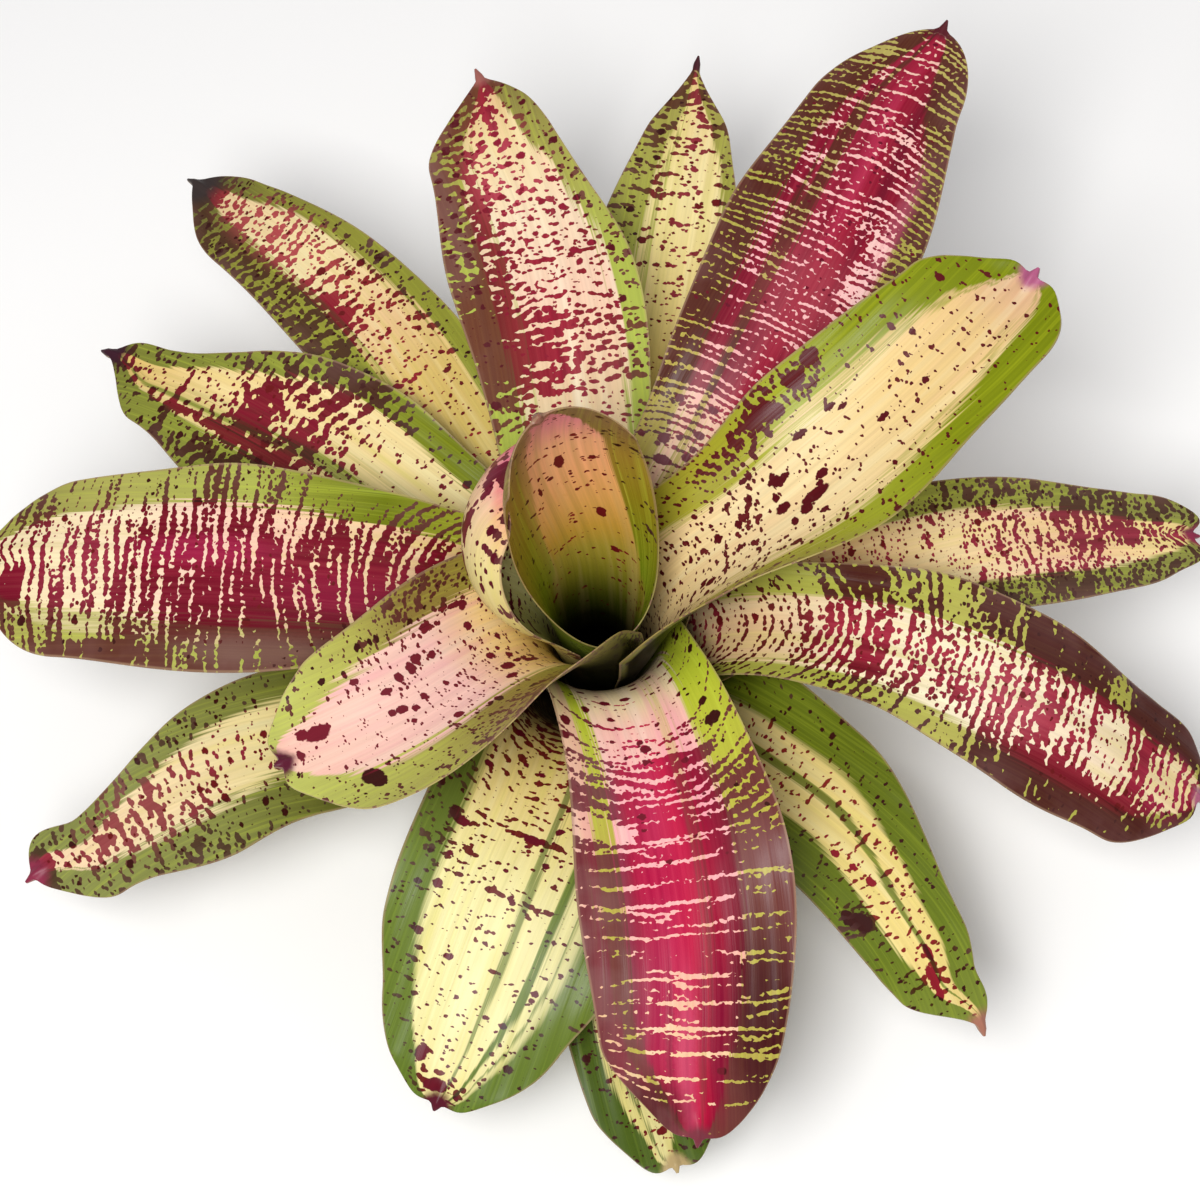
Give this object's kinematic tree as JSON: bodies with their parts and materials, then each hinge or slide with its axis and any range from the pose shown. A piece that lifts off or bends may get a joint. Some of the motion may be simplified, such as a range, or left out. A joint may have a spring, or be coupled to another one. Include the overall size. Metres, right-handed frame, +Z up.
{
  "type": "neoregelia bromeliad",
  "caption": "Open rosette of broad strap-shaped leaves, banded and spotted, that wrap a central water tank on a short cut stem.",
  "frame": {"origin": "centre of the stem's flat cut end, on the surface that the plant stands on", "axes": "+Z up along the stem and the central tank; -Y is the front, towards which the lip of the tank opens; +X is to the right seen from the front"},
  "size_m": [0.4653, 0.452, 0.2131],
  "materials": {
    "stem": "matt, fibrous, with rings of old leaf scars",
    "leaf_01": "smooth waxy leaf, satin gloss, banded and spotted",
    "leaf_02": "smooth waxy leaf, satin gloss, banded and spotted",
    "leaf_03": "smooth waxy leaf, satin gloss, banded and spotted",
    "leaf_04": "smooth waxy leaf, satin gloss, banded and spotted",
    "leaf_05": "smooth waxy leaf, satin gloss, banded and spotted",
    "leaf_06": "smooth waxy leaf, satin gloss, banded and spotted",
    "leaf_07": "smooth waxy leaf, satin gloss, banded and spotted",
    "leaf_08": "smooth waxy leaf, satin gloss, banded and spotted",
    "leaf_09": "smooth waxy leaf, satin gloss, banded and spotted",
    "leaf_10": "smooth waxy leaf, satin gloss, banded and spotted",
    "leaf_11": "smooth waxy leaf, satin gloss, banded and spotted",
    "leaf_12": "smooth waxy leaf, satin gloss, banded and spotted",
    "leaf_13": "smooth waxy leaf, satin gloss, banded and spotted",
    "leaf_14": "smooth waxy leaf, satin gloss, banded and spotted",
    "leaf_15": "smooth waxy leaf, satin gloss, banded and spotted",
    "leaf_16": "smooth waxy leaf, satin gloss, banded and spotted",
    "leaf_17": "smooth waxy leaf, satin gloss, banded and spotted"
  },
  "bodies": {
    "root": {"stem": "stem", "leaf_01": "leaf_01", "leaf_02": "leaf_02", "leaf_03": "leaf_03", "leaf_04": "leaf_04", "leaf_05": "leaf_05", "leaf_06": "leaf_06", "leaf_07": "leaf_07", "leaf_08": "leaf_08", "leaf_09": "leaf_09", "leaf_10": "leaf_10", "leaf_11": "leaf_11", "leaf_12": "leaf_12", "leaf_13": "leaf_13", "leaf_14": "leaf_14", "leaf_15": "leaf_15", "leaf_16": "leaf_16", "leaf_17": "leaf_17"}
  },
  "joints": []
}
